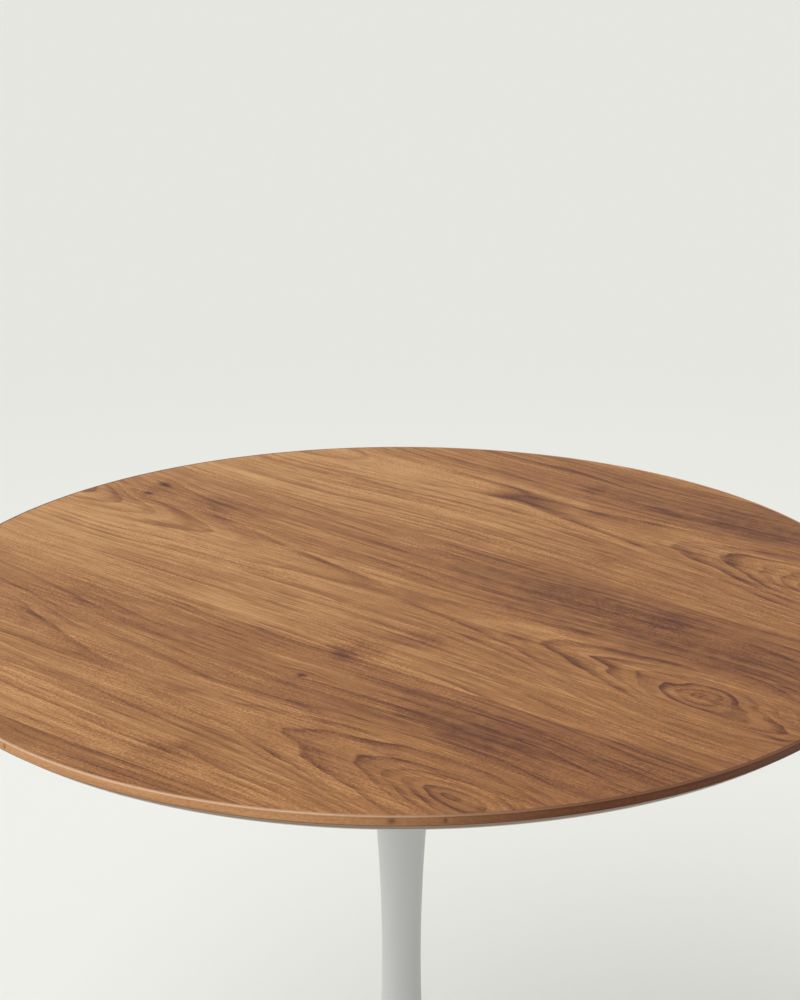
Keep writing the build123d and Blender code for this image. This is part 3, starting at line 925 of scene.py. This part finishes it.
def make_foot():
    """The foot: skin, rounded rim and hollow, with ribs and with bosses for the glides and the cover."""
    half_rim = (RIM_TOP - FOOT_LOW.z) / 2
    slope = math.degrees(math.atan(FOOT_SLOPE))
    rim_radius = half_rim / math.cos(math.radians(slope))
    rim_middle = (FOOT_HIGH.x - rim_radius, FOOT_LOW.z + half_rim)
    rim = arc(rim_middle, rim_radius, slope - 90, 90 - slope, RIM_STEPS)
    skin = [
        point for point in pedestal_skin(0, RIM_TOP, FOOT_HIGH.z)
        if RIM_TOP + RIM_GAP < point.y < FOOT_HIGH.z - SEAM_CHAMFER
    ]
    top = [
        Vector((skin[-1].x - SEAM_CHAMFER, FOOT_HIGH.z)),
        Vector((ROD_HOLE, FOOT_HIGH.z)),
        Vector((ROD_HOLE, FOOT_HIGH.z - FLANGE)),
    ]
    inner_skin = pedestal_skin(WALL, FOOT_LOW.z, FOOT_HIGH.z - FLANGE)
    bore = [point for point in inner_skin if point.x < CAVITY_RADIUS]
    hollow = list(reversed(bore))
    hollow += [Vector((CAVITY_RADIUS, bore[0].y)), Vector((CAVITY_RADIUS, FOOT_LOW.z))]
    build = bmesh.new()
    add_turned(build, rim + skin + top + hollow, steps=FOOT_STEPS)

    def ceiling(radius):
        """Height of the hollow, with enough to sink into the wall above it."""
        return min(point.y for point in bore if point.x <= radius) + SINK

    def rib_outline(inner, outer):
        """A stretch of a rib, from the cover up into the wall above it."""
        tops = [(point.x, point.y + SINK) for point in bore if inner < point.x < outer]
        sides = [
            (inner, ceiling(inner)), (inner, COVER_TOP),
            (outer, COVER_TOP), (outer, ceiling(outer)),
        ]
        return sides + tops

    # Each rib meets a boss on its way out: for a cover screw on the axes, for a glide on the diagonals
    stud_low, stud_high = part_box("glide_stud_1")
    glide_circle = math.hypot(stud_low.x + stud_high.x, stud_low.y + stud_high.y) / 2
    for number in range(RIBS):
        turn = 2 * math.pi * number / RIBS
        if number % 2:
            circle, boss, hole, steps = glide_circle, GLIDE_BOSS, GLIDE_HOLE, GLIDE_BOSS_STEPS
        else:
            circle, boss, hole, steps = COVER_SCREW_CIRCLE, COVER_BOSS, COVER_SCREW_HOLE, COVER_BOSS_STEPS
        add_plate(build, rib_outline(RIB_START, circle - boss + SINK), turn, RIB_THICKNESS)
        add_plate(build, rib_outline(circle + boss - SINK, CAVITY_RADIUS + SINK), turn, RIB_THICKNESS)
        place = (circle * math.cos(turn), circle * math.sin(turn))
        boss_outline = [
            (hole, COVER_TOP), (boss, COVER_TOP), (boss, ceiling(circle)), (hole, ceiling(circle))]
        add_turned(build, boss_outline, place, steps)
    stands_for(new_piece("foot", build, lacquer), "foot_casting")


make_stem()
make_foot()

plate = ring_solid("plate", [
    (ROD_HOLE, PLATE_LOW.z), (PLATE_HIGH.x - PLATE_CHAMFER, PLATE_LOW.z),
    (PLATE_HIGH.x, PLATE_LOW.z + PLATE_CHAMFER), (PLATE_HIGH.x, PLATE_HIGH.z), (ROD_HOLE, PLATE_HIGH.z),
], lacquer, steps=PLATE_STEPS)
stands_for(plate, "mounting_plate")

# ---- Levelling glides ----


def hexagon(flats):
    """Radius of a hexagon at each turn, with a corner at 0."""
    def radius_at(turn):
        from_middle = turn % (math.pi / 3) - math.pi / 6
        return flats / 2 / math.cos(from_middle)
    return radius_at


def thread_radius(turn, height):
    """Radius of a right-hand thread."""
    phase = (height / THREAD_PITCH - turn / (2 * math.pi)) % 1
    crest = min(max((abs(2 * phase - 1) - THREAD_ROOT) / THREAD_FLANK, 0), 1)
    return THREAD_RADIUS - THREAD_DEPTH * (1 - crest)


def make_glide(number):
    """One glide: a nylon sole, the steel cap pressed over it, and the threaded stud that turns in both."""
    sole_low, sole_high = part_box(f"glide_sole_{number}")
    cap_low, cap_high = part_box(f"glide_cap_{number}")
    stud_low, stud_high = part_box(f"glide_stud_{number}")
    centre = ((sole_low.x + sole_high.x) / 2, (sole_low.y + sole_high.y) / 2)
    sole_radius = (sole_high.x - sole_low.x) / 2
    cap_radius = (cap_high.x - cap_low.x) / 2

    low_round = arc((sole_radius - SOLE_ROUND, sole_low.z + SOLE_ROUND), SOLE_ROUND, -90, 0, ROUND_STEPS)
    high_round = arc((sole_radius - SOLE_EASE, sole_high.z - SOLE_EASE), SOLE_EASE, 0, 90, EASE_STEPS)
    sole = ring_solid(f"sole_{number}", [
        (0, stud_low.z), (CUP_RADIUS, stud_low.z), (CUP_RADIUS, sole_high.z), *reversed(high_round),
        *reversed(low_round), (0, sole_low.z),
    ], nylon, centre, GLIDE_STEPS)
    stands_for(sole, f"glide_sole_{number}", f"glide_sole_{number}")

    cap_round = arc((cap_radius - CAP_ROUND, cap_high.z - CAP_ROUND), CAP_ROUND, 0, 90, ROUND_STEPS)
    cap = ring_solid(f"cap_{number}", [
        (CAP_HOLE, cap_low.z), (cap_radius, cap_low.z), *cap_round, (CAP_HOLE, cap_high.z),
    ], zinc, centre, GLIDE_STEPS)
    stands_for(cap, f"glide_cap_{number}", f"glide_sole_{number}")

    build = bmesh.new()
    head_top = stud_low.z + STUD_HEAD
    head = [(0, stud_low.z), (STUD_HEAD_RADIUS, stud_low.z), (STUD_HEAD_RADIUS, head_top), (0, head_top)]
    add_turned(build, head, centre, HEAD_STEPS)
    neck_levels = (stud_low.z, HEX_BOTTOM + HEX_CONE)
    add_column(build, neck_levels, lambda turn, height: THREAD_RADIUS, centre, STUD_STEPS)

    flat_radius = hexagon(HEX_FLATS)
    rises = [HEX_CONE * step / CONE_STEPS for step in range(CONE_STEPS + 1)]
    hex_levels = [HEX_BOTTOM + rise for rise in rises] + [HEX_TOP - rise for rise in reversed(rises)]

    def chamfered(turn, height):
        """The hexagon's corners are cut back by a cone at both ends."""
        from_end = min(height - HEX_BOTTOM, HEX_TOP - height)
        return min(flat_radius(turn), HEX_CONE_RADIUS + from_end / HEX_CONE_SLOPE)

    add_column(build, hex_levels, chamfered, centre, GLIDE_STEPS)

    start = HEX_TOP - HEX_CONE
    count = round((stud_high.z - start) / THREAD_PITCH * PITCH_STEPS)
    thread_levels = [start + (stud_high.z - start) * step / count for step in range(count + 1)]

    def threaded(turn, height):
        """The thread runs out at the tip in a cone."""
        cone = THREAD_RADIUS - THREAD_DEPTH + stud_high.z - height
        return min(thread_radius(turn, height), cone)

    add_column(build, thread_levels, threaded, centre, STUD_STEPS)
    stands_for(new_piece(f"stud_{number}", build, zinc), f"glide_stud_{number}", f"glide_stud_{number}")


for number in range(1, GLIDES + 1):
    make_glide(number)

# ---- Floor, light, world ----

FLOOR_REACH = 300
FLOOR_SIDES = 256

floor_build = bmesh.new()
bmesh.ops.create_circle(floor_build, cap_ends=True, radius=FLOOR_REACH, segments=FLOOR_SIDES)
floor_mesh = bpy.data.meshes.new("floor")
floor_build.to_mesh(floor_mesh)
floor_build.free()
floor_mesh.materials.append(floor_material())
floor = bpy.data.objects.new("floor", floor_mesh)
bpy.context.scene.collection.objects.link(floor)

# A broad, soft key light from the left and a little in front
KEY_AZIMUTH = math.radians(-160)
KEY_ELEVATION = math.radians(35)
KEY_SPREAD = math.radians(95)
KEY_STRENGTH = 2.0
KEY_COLOUR = (1.0, 0.99, 0.97)

# A weak fill light from the right, low enough to reach the stem under the top
FILL_AZIMUTH = math.radians(-15)
FILL_ELEVATION = math.radians(7)
FILL_SPREAD = math.radians(40)
FILL_STRENGTH = 0.38
FILL_COLOUR = (1.0, 1.0, 1.0)


def sun(name, azimuth, elevation, spread, strength, colour):
    """A light from far away, as wide as its spread."""
    data = bpy.data.lights.new(name, "SUN")
    data.energy = strength
    data.angle = spread
    data.color = colour
    light = bpy.data.objects.new(name, data)
    level = math.cos(elevation)
    towards = Vector((level * math.cos(azimuth), level * math.sin(azimuth), math.sin(elevation)))
    light.rotation_euler = towards.to_track_quat("Z", "Y").to_euler()
    bpy.context.scene.collection.objects.link(light)


sun("key", KEY_AZIMUTH, KEY_ELEVATION, KEY_SPREAD, KEY_STRENGTH, KEY_COLOUR)
sun("fill", FILL_AZIMUTH, FILL_ELEVATION, FILL_SPREAD, FILL_STRENGTH, FILL_COLOUR)

# The room's light: brighter on the left than on the right
WORLD_LEFT = 0.84
WORLD_RIGHT = 0.43
WORLD_COLOUR = (0.95, 0.96, 0.94, 1)

world = bpy.data.worlds.new("world")
world.use_nodes = True
sky = world.node_tree
background = sky.nodes["Background"]
background.inputs["Color"].default_value = WORLD_COLOUR
direction = sky.nodes.new("ShaderNodeTexCoord")
sideways = sky.nodes.new("ShaderNodeSeparateXYZ")
fade = sky.nodes.new("ShaderNodeMapRange")
fade.inputs["From Min"].default_value = -1.0
fade.inputs["From Max"].default_value = 1.0
fade.inputs["To Min"].default_value = WORLD_LEFT
fade.inputs["To Max"].default_value = WORLD_RIGHT
sky.links.new(direction.outputs["Generated"], sideways.inputs[0])
sky.links.new(sideways.outputs["X"], fade.inputs["Value"])
sky.links.new(fade.outputs["Result"], background.inputs["Strength"])
bpy.context.scene.world = world
bpy.context.scene.view_settings.view_transform = "Standard"
